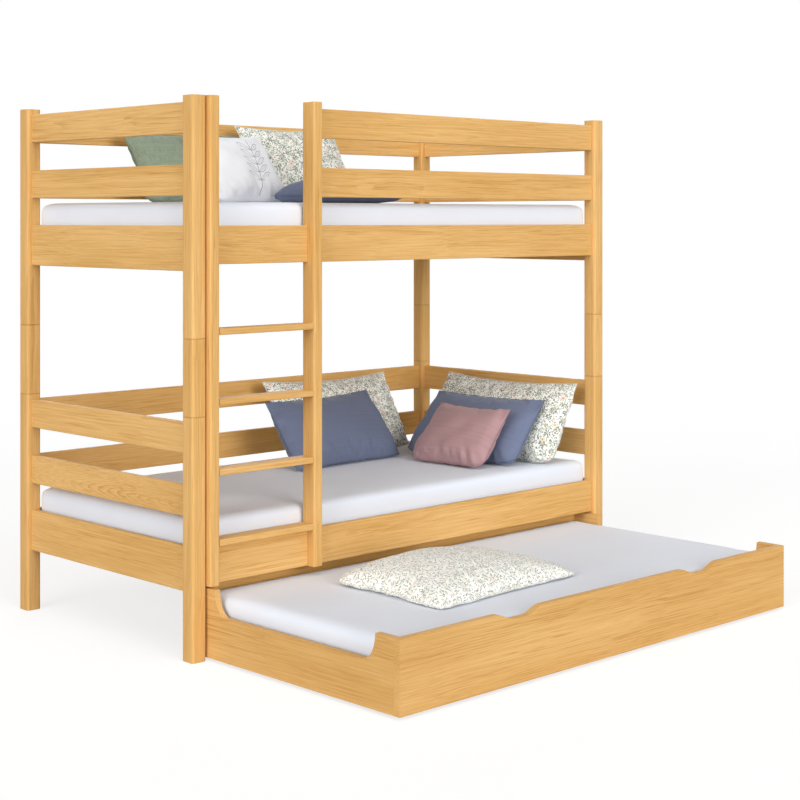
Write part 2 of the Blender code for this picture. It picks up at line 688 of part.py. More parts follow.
def push_back(bm, back, behind):
    """Moves a pillow back from well in front until it meets a pillow behind it, less a small ease."""
    step = 2 * PUSH_REACH / PUSH_STEPS
    bmesh.ops.translate(bm, vec=-PUSH_REACH * back, verts=bm.verts)
    for _ in range(PUSH_STEPS):
        bmesh.ops.translate(bm, vec=step * back, verts=bm.verts)
        if any(tree_of(bm).overlap(other) for other in behind):
            break
    else:
        bmesh.ops.translate(bm, vec=-PUSH_REACH * back, verts=bm.verts)
        return
    while step > PUSH_EASE / 4:
        step /= 2
        blocked = any(tree_of(bm).overlap(other) for other in behind)
        bmesh.ops.translate(bm, vec=(-step if blocked else step) * back, verts=bm.verts)
    bmesh.ops.translate(bm, vec=-PUSH_EASE * back, verts=bm.verts)


def make_pillows(plans, drawer):
    """Each pillow rests its lowest point on its mattress and leans towards the back of its bed."""
    trees = {}
    for pillow in PILLOWS:
        middle_y, top, (length, width, _) = plans[pillow.bed]
        lying = pillow.lean == LYING_ANGLE
        size = [share * PILLOW_UNIT for share in pillow.size_shares]
        bm = pillow_form(size, lying)
        if not lying:
            bmesh.ops.translate(bm, vec=(0, size[1] / 2, 0), verts=bm.verts)
        stand = Matrix.Rotation(math.radians(90 - pillow.lean), 4, "X")
        turn = Matrix.Rotation(math.radians(pillow.turn), 4, "Z")
        bmesh.ops.transform(bm, matrix=turn @ stand, verts=bm.verts)
        along, across = pillow.spot_shares
        lowest = min(vert.co.z for vert in bm.verts)
        spot = ((along - 1 / 2) * length, middle_y + (across - 1 / 2) * width, top + SEAT - lowest)
        bmesh.ops.translate(bm, vec=spot, verts=bm.verts)
        if pillow.behind:
            push_back(bm, turn @ Vector((0, 1, 0)), [trees[name] for name in pillow.behind])
        trees[pillow.name] = tree_of(bm)
        parent = drawer if pillow.bed == "drawer" else None
        object_from(pillow.name, bm, pillow.cover, parent, smooth_angle=60)


def main():
    clear_scene()
    drawer = empty_at("drawer_slide", (0, DRAWER_MIDDLE, DRAWER_LIFT))
    for bunk in BED_TOPS:
        make_end_boards(bunk)
        make_long_boards(bunk)
    make_rungs()
    make_posts()
    make_stiles()
    make_bunk_bases()
    plans = mattress_plans()
    for bed, (middle_y, top, size) in plans.items():
        make_mattress(f"{bed}_mattress", middle_y, top, size, drawer if bed == "drawer" else None)
    make_side_panel("drawer_left_panel", DRAWER_LEFT, drawer)
    make_side_panel("drawer_right_panel", DRAWER_RIGHT - PANEL_THICK, drawer)
    make_front_panel(drawer)
    make_back_panel(drawer)
    make_drawer_base(drawer)
    make_wheels(drawer)
    make_pillows(plans, drawer)


main()
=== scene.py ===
"""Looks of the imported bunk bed: sawn pine, cotton covers, a pale studio and the photograph's camera."""

import json
import math
from collections import namedtuple
from functools import partialmethod

import bmesh
import bpy
import numpy as np
from bpy.props import FloatProperty, FloatVectorProperty, IntProperty, PointerProperty
from mathutils import Euler, Matrix, Vector, noise
from mathutils.bvhtree import BVHTree

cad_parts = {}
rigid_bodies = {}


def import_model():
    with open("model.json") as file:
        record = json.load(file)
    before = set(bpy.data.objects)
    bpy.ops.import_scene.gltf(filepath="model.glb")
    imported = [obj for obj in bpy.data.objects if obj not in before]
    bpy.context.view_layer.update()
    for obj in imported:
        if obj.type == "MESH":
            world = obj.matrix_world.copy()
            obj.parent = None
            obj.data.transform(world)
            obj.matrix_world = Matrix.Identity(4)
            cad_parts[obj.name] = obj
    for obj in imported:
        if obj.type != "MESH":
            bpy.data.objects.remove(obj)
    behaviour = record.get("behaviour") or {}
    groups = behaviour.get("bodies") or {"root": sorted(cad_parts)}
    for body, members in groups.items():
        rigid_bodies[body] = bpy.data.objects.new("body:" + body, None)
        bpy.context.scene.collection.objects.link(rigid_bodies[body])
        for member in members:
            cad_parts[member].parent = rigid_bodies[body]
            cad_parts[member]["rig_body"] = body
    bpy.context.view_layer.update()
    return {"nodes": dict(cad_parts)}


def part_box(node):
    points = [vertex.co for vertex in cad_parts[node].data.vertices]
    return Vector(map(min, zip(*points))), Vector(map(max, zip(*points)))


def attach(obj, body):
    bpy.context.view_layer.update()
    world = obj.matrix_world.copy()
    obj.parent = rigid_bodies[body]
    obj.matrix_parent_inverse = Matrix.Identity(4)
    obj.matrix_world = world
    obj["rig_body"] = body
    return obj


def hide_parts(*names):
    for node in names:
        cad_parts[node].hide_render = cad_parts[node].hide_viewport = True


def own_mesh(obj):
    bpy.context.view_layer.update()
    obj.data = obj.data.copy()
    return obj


bl_info = {
    "name": "Bunk Bed Looks",
    "version": (1, 0, 0),
    "blender": (4, 5, 0),
    "location": "View3D > Sidebar > Bunk Bed",
    "description": "Dresses the packed bunk bed with its trundle drawer, mattresses and pillows",
    "category": "Object",
}

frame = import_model()

X, Y, Z = range(3)
NEAR = 0.02  # the boxes of neighbours lie closer than this
REACH = 0.03  # a soft piece looks this far for what it has to be kept clear of

# A pillow's bed, its width, height and thickness in metres, how it leans and is turned, in degrees, its
# cover, how deep its creases are, how far its bottom corners are drawn up, as a share of its height, and
# how far its sides are drawn in at their middles, as a share of half its width
Pillow = namedtuple("Pillow", "name bed size lean turn cover creases tuck waist")
LYING = 90.0
PILLOWS = (
    Pillow("lower_back_flower_pillow", "lower", (0.667, 0.355, 0.125), 25.6, -1.6, "flower", 0.8, 0.05, 0.05),
    Pillow("lower_back_blue_pillow", "lower", (0.580, 0.310, 0.115), 35.9, 2.1, "blue", 0.6, 0.04, 0.02),
    Pillow("lower_end_flower_pillow", "lower", (0.694, 0.359, 0.125), 27.8, -90.7, "flower", 0.8, 0.12, 0.02),
    Pillow("lower_end_blue_pillow", "lower", (0.543, 0.305, 0.110), 38.9, -87.3, "blue", 0.6, 0.12, 0.03),
    Pillow("lower_end_pink_pillow", "lower", (0.364, 0.287, 0.100), 41.2, -90.0, "pink", 1.25, 0.12, 0.02),
    Pillow("upper_flower_pillow", "upper", (0.531, 0.354, 0.120), 27.0, 0.0, "flower", 0.8, 0.12, 0.07),
    Pillow("upper_sage_pillow", "upper", (0.555, 0.310, 0.115), 28.0, 0.0, "sage", 0.6, 0.12, 0.07),
    Pillow("upper_white_pillow", "upper", (0.370, 0.326, 0.105), 35.6, 0.0, "white", 1.0, 0.12, 0.07),
    Pillow("upper_blue_pillow", "upper", (0.420, 0.290, 0.100), LYING, 0.0, "blue", 0.5, 0.12, 0.045),
    Pillow("drawer_flower_pillow", "drawer", (0.690, 0.525, 0.095), LYING, 4.5, "flower", 0.5, 0.12, 0.045),
)
# How dark the flower print is drawn on each bed's pillows. The same print is drawn paler on the drawer's
# pillow, which lies in strong light, and darker on the upper bed's: painted light and shade
Print = namedtuple("Print", "pale dark sprays")
PRINT_INK_AND_PAINTED_LIGHT = {"lower": Print(0.95, 0.97, 0.97), "upper": Print(1.3, 1.14, 1.14), "drawer": Print(0.30, 0.76, 0.34)}
# Painted shade: covers and a mattress drawn darker than the others of their colour, as a share of its
# strength, to stand in for the shade they lie in
PAINTED_SHADE = {
    "lower_back_blue_pillow": 0.87,
    "lower_end_pink_pillow": 0.95,
    "upper_blue_pillow": 0.82,
    "upper_flower_pillow": 0.94,
    "lower_mattress": 0.965,
}
# The share of a lying pillow's thickness under its seam
UNDER_SEAM = {"upper": 0.30, "drawer": 0.13}
# How far corners of a pillow lie from those of a straight cover, along its width, height and thickness.
# A corner is named by its signs: left is -1 and right 1, then bottom is -1 and top 1.
CORNER_PULLS = {
    "drawer_flower_pillow": {(-1, -1): (-0.025, 0.022, 0), (-1, 1): (0.021, -0.013, 0.006)},
    "lower_back_flower_pillow": {(-1, -1): (0.030, 0, 0), (1, -1): (0.022, 0.016, 0)},
    "lower_back_blue_pillow": {(1, 1): (0, 0.012, 0), (1, -1): (0.010, 0.006, 0), (-1, 1): (0, 0.003, 0)},
    "lower_end_flower_pillow": {(1, -1): (0.010, 0, 0)},
    "lower_end_blue_pillow": {(-1, -1): (-0.030, -0.008, 0), (-1, 1): (0, 0.009, 0), (1, 1): (0, 0.009, 0)},
    "lower_end_pink_pillow": {(-1, -1): (-0.010, -0.006, 0), (1, -1): (0.014, 0.004, 0)},
}
# How far the middles of a leaning pillow's top and bottom edges are drawn in, as a share of half its
# height, and the pillows whose top is drawn in further
SAG = 0.07
SAGS = {"lower_back_flower_pillow": 0.10, "lower_end_flower_pillow": 0.10}
# How far a pillow's middle lies from that of its solid
NUDGES = {
    "lower_back_flower_pillow": (0.015, 0, 0.004),
    "lower_back_blue_pillow": (0.023, 0.022, 0.004),
    "lower_end_flower_pillow": (0, 0.010, 0),
    "lower_end_blue_pillow": (0, 0.0155, 0.0045),
    "lower_end_pink_pillow": (0, 0.010, 0.002),
}
# The section of a pillow: the powers that round it, above and below the seam of a lying one; how much
# fuller a leaning one is at its bottom, and a lying one at its left; how far a lying one is drawn in
CROWN_POWER, UNDER_POWER = 0.42, 0.22
SLUMP, LOPSIDED = 0.22, 0.12
LYING_DRAWN = 0.045
# Height, length and reach of a pillow's puckers along its seam, its folds at the bottom and its hollows,
# how far from its seam they begin, and the height and length of the waves in its sewn edge
PUCKER, PUCKER_LONG, PUCKER_REACH = 0.0024, 0.015, 0.030
FOLD, FOLD_WIDE, FOLD_LONG, FOLD_REACH = 0.0110, 0.021, 0.12, 0.35
HOLLOW, HOLLOW_LONG = 0.0065, 0.075
BESIDE_SEAM = 0.010
EDGE_WAVE, EDGE_WAVE_LONG = 0.0016, 0.022
CLOTH = {
    "quality": 5,
    "mass": 0.25,
    "tension_stiffness": 12,
    "compression_stiffness": 12,
    "shear_stiffness": 5,
    "bending_stiffness": 0.35,
    "use_pressure": True,
    "vertex_group_mass": "pinned",
}
# How strong the threads, ribs and bands of each plain cover are
WEAVES = {"blue": (0.10, 0.45, 0.15), "pink": (0.08, 0.12, 0.26), "sage": (0.42, 0.06, 0.34)}
MATTRESS_ROUNDING, MATTRESS_CELL, MATTRESS_SLACK = (0.040, 0.016, 0.032), 0.022, 0.012
SPACER_STEP = 0.020  # the posts' spacers begin this far above the lower bunk's top rail
LEDGER_DROP = 0.0152  # the ledgers begin this far below the tops of their slats
FORK_TOP = 0.0597  # the castors' forks end at this height


# Settings that a user may change


def colour_setting(name, text, default):
    return FloatVectorProperty(
        name=name, description=text, default=default, size=3, subtype="COLOR", min=0, max=1
    )


def number_setting(name, text, default, **limits):
    return FloatProperty(name=name, description=text, default=default, min=0, **limits)


def length_setting(name, text, default):
    return number_setting(name, text, default, unit="LENGTH", precision=4)


class PineSettings(bpy.types.PropertyGroup):
    """Colours and grain of the pine."""

    light: colour_setting("Light", "Early wood", (0.80, 0.495, 0.188))
    middle: colour_setting("Middle", "Broad darker bands", (0.69, 0.395, 0.125))
    dark: colour_setting("Dark", "Late wood lines and streaks", (0.44, 0.190, 0.036))
    ring: length_setting("Ring", "Distance between growth rings", 0.0075)
    roughness: number_setting("Roughness", "Of the satin lacquer", 0.54, max=1)


class CottonSettings(bpy.types.PropertyGroup):
    """Colours and threads of the covers."""

    blue: colour_setting("Blue", "Blue covers", (0.150, 0.180, 0.276))
    pink: colour_setting("Pink", "Pink cover", (0.475, 0.290, 0.300))
    sage: colour_setting("Sage", "Sage green cover", (0.235, 0.282, 0.200))
    white: colour_setting("White", "White cover", (0.86, 0.872, 0.905))
    ink: colour_setting("Ink", "Lines drawn on the white cover", (0.10, 0.10, 0.12))
    ground: colour_setting("Ground", "Off-white ground of the flower print", (0.96, 0.955, 0.91))
    sheet: colour_setting("Sheet", "Mattress covers", (0.797, 0.838, 0.916))
    thread: length_setting("Thread", "Distance between threads", 0.0011)


class PaddingSettings(bpy.types.PropertyGroup):
    """How the covers are filled."""

    pressure: number_setting("Pressure", "Of the filling", 4.0)
    cell: length_setting("Cell", "Width of a pillow cover's faces", 0.0084)
    slack: number_setting("Slack", "Spare cloth, as a share", 0.045, max=0.2)
    frames: IntProperty(name="Frames", description="Steps of the cloth simulation", default=20, min=1)
    pillow_cap: length_setting("Pillow cap", "How far a pillow's cover may move", 0.009)
    mattress_cap: length_setting("Mattress cap", "How far a mattress cover may move", 0.004)
    seam: length_setting("Seam", "Radius of a pillow's sewn edge", 0.0012)
    clearance: length_setting("Clearance", "Kept between soft pieces and their neighbours", 0.0008)


class StageSettings(bpy.types.PropertyGroup):
    """The studio."""

    floor: colour_setting("Floor", "Floor", (0.64, 0.64, 0.64))
    lamps: number_setting("Lamps", "Power of the lamps, as a share", 1.0)
    world: number_setting("World", "Strength of the light from all round", 0.27)


def settings():
    return bpy.context.scene.bunk_bed


def placed(name, data):
    made = bpy.data.objects.new(name, data)
    bpy.context.scene.collection.objects.link(made)
    return made


# Materials


class Value:
    """A socket of a material's tree. Sums written with it add Math nodes."""

    def __init__(self, finish, socket):
        self.finish, self.socket = finish, socket

    def math(self, operation, *others):
        return self.finish.node("ShaderNodeMath", {"operation": operation}, [self, *others])

    def __rsub__(self, other):
        return self.finish.node("ShaderNodeMath", {"operation": "SUBTRACT"}, [other, self])

    __add__ = __radd__ = partialmethod(math, "ADD")
    __mul__ = __rmul__ = partialmethod(math, "MULTIPLY")
    __sub__ = partialmethod(math, "SUBTRACT")
    __truediv__ = partialmethod(math, "DIVIDE")
    __pow__ = partialmethod(math, "POWER")
    __abs__ = partialmethod(math, "ABSOLUTE")
    __lt__ = partialmethod(math, "LESS_THAN")
    __gt__ = partialmethod(math, "GREATER_THAN")

    def softly_over(self, edge, width):
        """0 below an edge and 1 above it, with a soft step of this width."""
        step = {"interpolation_type": "SMOOTHSTEP"}
        inputs = {"Value": self, "From Min": edge - width / 2, "From Max": edge + width / 2}
        return self.finish.node("ShaderNodeMapRange", step, inputs)


class Finish:
    """A material, or a world, whose tree is written as Python expressions."""

    def __init__(self, name, kind="materials", shader="Principled BSDF"):
        self.made = getattr(bpy.data, kind).new(name)
        self.made.use_nodes = True
        self.tree = self.made.node_tree
        self.shader = self.tree.nodes[shader]

    def node(self, kind, options=None, inputs=(), output=0):
        """Adds a node: first its settings, then the values or links of its sockets."""
        made = self.tree.nodes.new(kind)
        for key, value in (options or {}).items():
            setattr(made, key, value)
        for key, value in inputs.items() if isinstance(inputs, dict) else enumerate(inputs):
            self.feed(made.inputs[key], value)
        return Value(self, made.outputs[output])

    def feed(self, socket, value):
        if isinstance(value, Value):
            self.tree.links.new(value.socket, socket)
        elif value is not None:
            wide = socket.type == "RGBA" and len(value) == 3
            socket.default_value = (*value, 1) if wide else value

    def choice(self, value, stops):
        """One of some colours, each from its own value on."""
        chosen = self.node("ShaderNodeValToRGB", None, [value])
        ramp = chosen.socket.node.color_ramp
        ramp.interpolation = "CONSTANT"
        ramp.elements.remove(ramp.elements[-1])
        for number, (place, colour) in enumerate(stops):
            element = ramp.elements.new(place) if number else ramp.elements[0]
            element.position, element.color = place, (*colour, 1)
        return chosen

    def mix(self, factor, a, b):
        return self.node("ShaderNodeMix", {"data_type": "RGBA"}, {0: factor, 6: a, 7: b}, 2)

    def vector(self, operation, a, b):
        return self.node("ShaderNodeVectorMath", {"operation": operation}, [a, b])

    def place(self):
        """Where a point of the object lies, in metres."""
        return self.node("ShaderNodeTexCoord", output=3)

    def cloth(self):
        """Where a point lies on its piece of cloth, in metres."""
        return self.node("ShaderNodeUVMap", {"uv_map": "cloth"})

    def split(self, vector):
        xyz = self.node("ShaderNodeSeparateXYZ", None, [vector])
        return [Value(self, socket) for socket in xyz.socket.node.outputs]

    def joined(self, *parts):
        return self.node("ShaderNodeCombineXYZ", None, parts)

    def noise(self, vector, scale, detail, roughness, distortion=0.0):
        inputs = dict(Vector=vector, Scale=scale, Detail=detail, Roughness=roughness, Distortion=distortion)
        return self.node("ShaderNodeTexNoise", None, inputs)

    def stretched(self, vector, scales, detail, roughness):
        """Noise with its own scale along each axis."""
        return self.noise(self.vector("MULTIPLY", vector, scales), 1.0, detail, roughness)

    def bump(self, height, distance, strength, finer=None):
        inputs = {"Strength": strength, "Distance": distance, "Height": height, "Normal": finer}
        return self.node("ShaderNodeBump", None, inputs)

    def surface(self, **inputs):
        for key, value in inputs.items():
            self.feed(self.shader.inputs[key.replace("_", " ")], value)
        return self.made


# How a board is sawn: the distance between its rings, as a share, how much slow and finer waves bend them,
# and how dark they are
Sawn = namedtuple("Sawn", "ring slow drift arches")
PLAIN, FIGURED = Sawn(1, 4.5, 1.1, 0.26), Sawn(0.5, 1.6, 0.5, 0.52)
# Numbers of the boards sawn beside the log's heart, so that their grain shows nested arches
BESIDE_HEART = (25, 27)
# How far some timbers are drawn darker than the pine's own tone; on the lower bunk's back rails, in the shade
# under the upper bunk, this is painted shade
DARKER_TONE_AND_SHADE = {
    "back_left_lower_post": 0.13,
    "back_left_upper_post": 0.13,
    "drawer_left_panel": 0.09,
    "lower_left_middle_rail": 0.05,
    "lower_back_middle_rail": 0.16,
    "lower_back_top_rail": 0.11,
}
SWAY = 0.011  # how far the fine grain wanders
LATE_POWER = 2.6  # how narrow the dark part of a ring is
SPACER_SHIFT = (0.012, 0.017, 0.61)  # the spacer's timber lies this far on in its log
PALE_FIBRE = (0.87, 0.59, 0.28)
ZINC = (0.42, 0.43, 0.45)
# The dark line where two lengths of a post meet is painted shade, standing in for the shadow in their narrow
# groove
SEAM_HALF, SEAM_SOFT = 0.0018, 0.0016  # of the dark line where two lengths of a post meet


def pine(name, run, number, spacer_from=None, ledger_below=None, fork_below=None, seams=()):
    """Sawn pine whose grain runs along one axis, cut from its own place in its log."""
    look = settings().pine
    finish = Finish(f"pine_{name}")
    place = finish.place()
    height = finish.split(place)[Z]
    if spacer_from:
        shift = finish.vector("MULTIPLY", SPACER_SHIFT, height > spacer_from)
        place = finish.vector("ADD", place, shift)
    low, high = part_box(name)
    middle = (low + high) / 2
    log = grain_place(finish, place, run, number, middle)
    if ledger_below:
        sockets = {0: height < ledger_below, 4: log, 5: grain_place(finish, place, X, number + 1, middle)}
        log = finish.node("ShaderNodeMix", {"data_type": "VECTOR"}, sockets, 1)
    sawn = FIGURED if number in BESIDE_HEART else PLAIN
    _, across, deep = finish.split(log)
    slow = finish.stretched(log, (1.1, 9, 9), 3, 0.55)
    drift = finish.stretched(log, (3.2, 30, 30), 2, 0.5)
    patch = finish.stretched(log, (2.0, 22, 22), 2, 0.5).softly_over(0.5, 0.3)
    sway = (finish.stretched(log, (3.4, 6, 6), 1, 0.5) - 0.5) * SWAY
    bent = finish.vector("ADD", log, finish.joined(0, sway, sway))
    line = finish.stretched(bent, (2.2, 290, 290), 3, 0.6)
    fibre = finish.stretched(bent, (9, 560, 560), 3, 0.6)
    streak = finish.stretched(bent, (4.6, 165, 165), 3, 0.62)
    radius = (across * across + deep * deep) ** 0.5
    rings = radius / (look.ring * sawn.ring) + slow * sawn.slow + drift * sawn.drift
    late = rings.math("FRACT") ** LATE_POWER
    colour = finish.mix(slow.softly_over(0.5, 0.4) * 0.9, look.light, look.middle)
    for share in (
        late * (patch * sawn.arches + 0.08),
        line.softly_over(0.56, 0.26) * 0.19,
        streak.softly_over(0.62, 0.14) * (patch * 0.30 + 0.16),
        fibre.softly_over(0.56, 0.3) * 0.2,
    ):
        colour = finish.mix(share, colour, look.dark)
    colour = finish.mix((1 - line.softly_over(0.42, 0.2)) * 0.23, colour, PALE_FIBRE)
    # painted shade on the lower bunk's back rails, and a darker tone on the other listed timbers
    if name in DARKER_TONE_AND_SHADE:
        colour = finish.mix(DARKER_TONE_AND_SHADE[name], colour, look.dark)
    # painted shade along the groove where two lengths of a post meet
    for seam in seams:
        beside = abs(height - seam).softly_over(SEAM_HALF, SEAM_SOFT)
        colour = finish.mix((1 - beside) * 0.5, colour, look.dark)
    gloss = fibre * 0.16 + (look.roughness - 0.08)
    metal = 0.0
    if fork_below:
        fork = height < fork_below
        colour = finish.mix(fork, colour, ZINC)
        gloss = gloss * (1 - fork) + fork * 0.38
        metal = fork
    normal = finish.bump(late * 0.35 + fibre * 0.5 + streak * 0.3, 0.0006, 0.35)
    return finish.surface(
        Base_Color=colour, Roughness=gloss, Metallic=metal, Normal=normal, Specular_IOR_Level=0.1
    )


def grain_place(finish, place, run, number, middle):
    """Coordinates in this piece's own log: X runs along the grain, and its heart is near the origin."""
    upright, level = {X: (0, 0), Y: (0, -math.pi / 2), Z: (math.pi / 2, 0)}[run]
    figured = number in BESIDE_HEART
    sway = ((number * 53) % 13 - 6) * 0.002
    tilt = 0.07 if figured else ((number * 37) % 11 - 5) * 0.004
    turn = Euler((0, upright + sway, level + tilt))
    heart = Vector((number * 0.713, 0.026 + 0.011 * ((number * 17) % 7), 0.007 * ((number * 29) % 9 - 4)))
    if figured:
        heart.yz = 0.028, 0.020
    offset = heart - turn.to_matrix() @ middle
    inputs = {"Vector": place, "Location": offset, "Rotation": turn}
    return finish.node("ShaderNodeMapping", None, inputs)


def weave(finish, cloth):
    """The height of a plain weave, from 0 to 1, on cloth coordinates in metres."""
    turns = math.pi / settings().cotton.thread
    warp, weft = (abs((way * turns).math("SINE")) for way in finish.split(cloth)[:2])
    return warp.math("MAXIMUM", weft)


def dull(finish, colour, normal, roughness, sheen=0.1):
    """Cloth: hardly any gloss, and a little sheen."""
    return finish.surface(
        Base_Color=colour, Roughness=roughness, Normal=normal, Sheen_Weight=sheen, Specular_IOR_Level=0.2
    )


RIB_PITCH = 0.0074


def cotton(name, colour, slub, rib, band):
    """A woven cover, with uneven threads, fine ribs and faint bands across it."""
    finish = Finish(f"cotton_{name}")
    cloth = finish.cloth()
    threads = weave(finish, cloth)
    uneven = finish.stretched(cloth, (22, 420, 1), 3, 0.6)
    cross = finish.stretched(cloth, (420, 30, 1), 2, 0.6)
    soft = finish.noise(cloth, 9.0, 2, 0.5)
    along = finish.split(cloth)[Y]
    ribs = (along * (math.tau / RIB_PITCH)).math("SINE") * 0.5 + 0.5
    darker = tuple(0.72 * part for part in colour)
    paler = tuple(min(1.0, 1.22 * part + 0.012) for part in colour)
    bands = finish.stretched(cloth, (1.6, 75, 1), 3, 0.6).softly_over(0.52, 0.3)
    shade = colour
    for share, tone in (
        (uneven.softly_over(0.5, 0.4) * slub * 3, paler),
        (cross.softly_over(0.55, 0.4) * slub * 2, darker),
        (soft.softly_over(0.5, 0.6) * 0.12, darker),
        (ribs * rib, paler),
        (bands * band, darker),
    ):
        shade = finish.mix(share, shade, tone)
    fine = finish.bump(threads * 0.25 + uneven * 0.35 + ribs * rib * 1.2, 0.0006, 0.4)
    normal = finish.bump(finish.noise(cloth, 26.0, 3, 0.55, 0.4), 0.004, 0.25, fine)
    return dull(finish, shade, normal, uneven * 0.1 + 0.82, sheen=0.15)


def leaf(offset, angle, long, wide):
    """1 inside a leaf that lies at an angle about the middle of its cell."""
    cosine, sine = angle.math("COSINE"), angle.math("SINE")
    run = (offset[X] * cosine + offset[Y] * sine) / long
    side = (offset[Y] * cosine - offset[X] * sine) / wide
    return (1 - run * run - abs(side)).softly_over(0.12, 0.24)


def polar(offset, angle):
    """How far a place is from the middle of its cell, and in which direction."""
    far = (offset[X] * offset[X] + offset[Y] * offset[Y]) ** 0.5
    return far, offset[Y].math("ARCTAN2", offset[X]) + angle


def flower(offset, angle, radius):
    """1 inside five round petals, and 1 inside the flower's middle."""
    far, turn = polar(offset, angle)
    petal = abs((turn * 2.5).math("COSINE")) * (radius * 0.5) + radius * 0.5
    eye = ((radius * 0.24 - far) / radius).softly_over(0.0, 0.1)
    return ((petal - far) / radius).softly_over(0.0, 0.12), eye


def spray(offset, angle, blades, radius):
    """1 inside thin blades that spread from the middle of their cell."""
    far, turn = polar(offset, angle)
    blade = (turn * (blades / math.tau)).math("FRACT")
    beside = abs(blade - 0.5) * (math.tau / blades) * far
    run = (far - radius * 0.56) / (radius * 0.46)
    return (1 - run * run - beside / (radius * 0.11)).softly_over(0.12, 0.24)


PRINT_LEAVES = (
    # its ink's name, cell, length, width, share of cells with a leaf, start, and the inks of each layer
    ("pale", 0.0150, 0.0084, 0.0023, 0.85, (0.0, 0.0), (
        (0.0, (0.62, 0.66, 0.54)), (0.45, (0.76, 0.73, 0.60)), (0.72, (0.50, 0.56, 0.44)),
    )),
    ("dark", 0.0145, 0.0078, 0.0018, 0.85, (3.3, 1.7), (
        (0.0, (0.10, 0.12, 0.09)), (0.30, (0.34, 0.38, 0.25)), (0.62, (0.22, 0.26, 0.18)),
    )),
    ("dark", 0.0126, 0.0060, 0.0016, 0.70, (7.1, 4.9), (
        (0.0, (0.05, 0.065, 0.05)), (0.4, (0.44, 0.42, 0.24)), (0.6, (0.07, 0.065, 0.08)),
    )),
    ("dark", 0.0290, 0.0054, 0.0025, 0.55, (5.7, 8.3), (
        (0.0, (0.60, 0.36, 0.28)), (0.4, (0.66, 0.54, 0.34)), (0.75, (0.40, 0.26, 0.25)),
    )),
)
PRINT_SPRAYS = (
    # cell, start, blades, radius and ink of each layer
    (0.046, (1.2, 9.4), 7, 0.0165, (0.12, 0.15, 0.11)),
    (0.038, (6.6, 2.8), 6, 0.0140, (0.40, 0.45, 0.33)),
)
FLOWER_CELL, FLOWER_START, FLOWER_RADIUS = 0.064, (2.2, 6.4), 0.0130
FLOWER_INKS = ((0.0, (0.93, 0.89, 0.80)), (0.6, (0.84, 0.62, 0.55)), (0.8, (0.87, 0.75, 0.59)))
FLOWER_EYE = (0.42, 0.24, 0.16)


def flower_print(name, ink):
    """Small leaves, sprays and flowers scattered over off-white cotton."""
    finish = Finish(f"cotton_{name}")
    cloth = finish.cloth()
    # the ground carries painted shade on the pillows listed for it
    ground = with_painted_shade(settings().cotton.ground, name)
    cloudy = finish.noise(cloth, 45, 2, 0.5).softly_over(0.5, 0.4)
    # ink sets how dark the print is drawn on each bed, with painted light and shade in it
    colour = finish.mix(cloudy * 0.36 * ink.pale, ground, (0.72, 0.74, 0.66))
    for tone, cell, long, wide, share, start, inks in PRINT_LEAVES:
        offset, angle, pick, chance = scattered(finish, cloth, cell, start)
        mask = leaf(offset, angle, long, wide) * (chance < share)
        colour = finish.mix(mask * getattr(ink, tone), colour, finish.choice(pick, inks))
    for cell, start, blades, radius, tint in PRINT_SPRAYS:
        offset, angle, _, chance = scattered(finish, cloth, cell, start)
        mask = spray(offset, angle, blades, radius) * (chance > 0.25)
        colour = finish.mix(mask * ink.sprays, colour, tint)
    offset, angle, pick, chance = scattered(finish, cloth, FLOWER_CELL, FLOWER_START)
    petals, eye = flower(offset, angle, FLOWER_RADIUS)
    there = (chance > 0.5) * ink.pale
    colour = finish.mix(petals * there, colour, finish.choice(pick, FLOWER_INKS))
    colour = finish.mix(eye * there, colour, FLOWER_EYE)
    return printed(finish, cloth, colour, 26.0, 0.25)


def printed(finish, cloth, colour, crumples, strength):
    """The softly crumpled surface of printed cotton."""
    fine = finish.bump(weave(finish, cloth), 0.0004, 0.25)
    normal = finish.bump(finish.noise(cloth, crumples, 3, 0.55, 0.4), 0.004, strength, fine)
    return dull(finish, colour, normal, 0.86)


def with_painted_shade(colour, name):
    """A colour darkened by the painted shade of one piece, where it has any."""
    return tuple(part * PAINTED_SHADE.get(name, 1) for part in colour)


def scattered(finish, cloth, cell, start):
    """The offset from the middle of the nearest of many cells, its random angle and two random numbers."""
    scaled = finish.vector("MULTIPLY", finish.vector("ADD", cloth, (*start, 0)), [1 / cell] * 3)
    inputs = {"Vector": scaled, "Scale": 1.0, "Randomness": 0.85}
    node = finish.node("ShaderNodeTexVoronoi", {"voronoi_dimensions": "2D"}, inputs).socket.node
    middle = Value(finish, node.outputs["Position"])
    away = finish.vector("MULTIPLY", finish.vector("SUBTRACT", scaled, middle), [cell] * 3)
    angle, pick, chance = finish.split(Value(finish, node.outputs["Color"]))
    return finish.split(away), angle * math.tau, pick, chance


# The drawn sprig: half the width of its line, its stem's ends, the span, step and slant of its leaves, and
# each leaf's length and half width
SPRIG_LINE = 0.0011
STEM_ENDS = (-0.152, 0.105)
LEAF_SPAN, LEAF_STEP, LEAF_SLANT = (-0.10, 0.075), 0.036, 0.75
LEAF_LONG, LEAF_HALF = 0.052, 0.0115


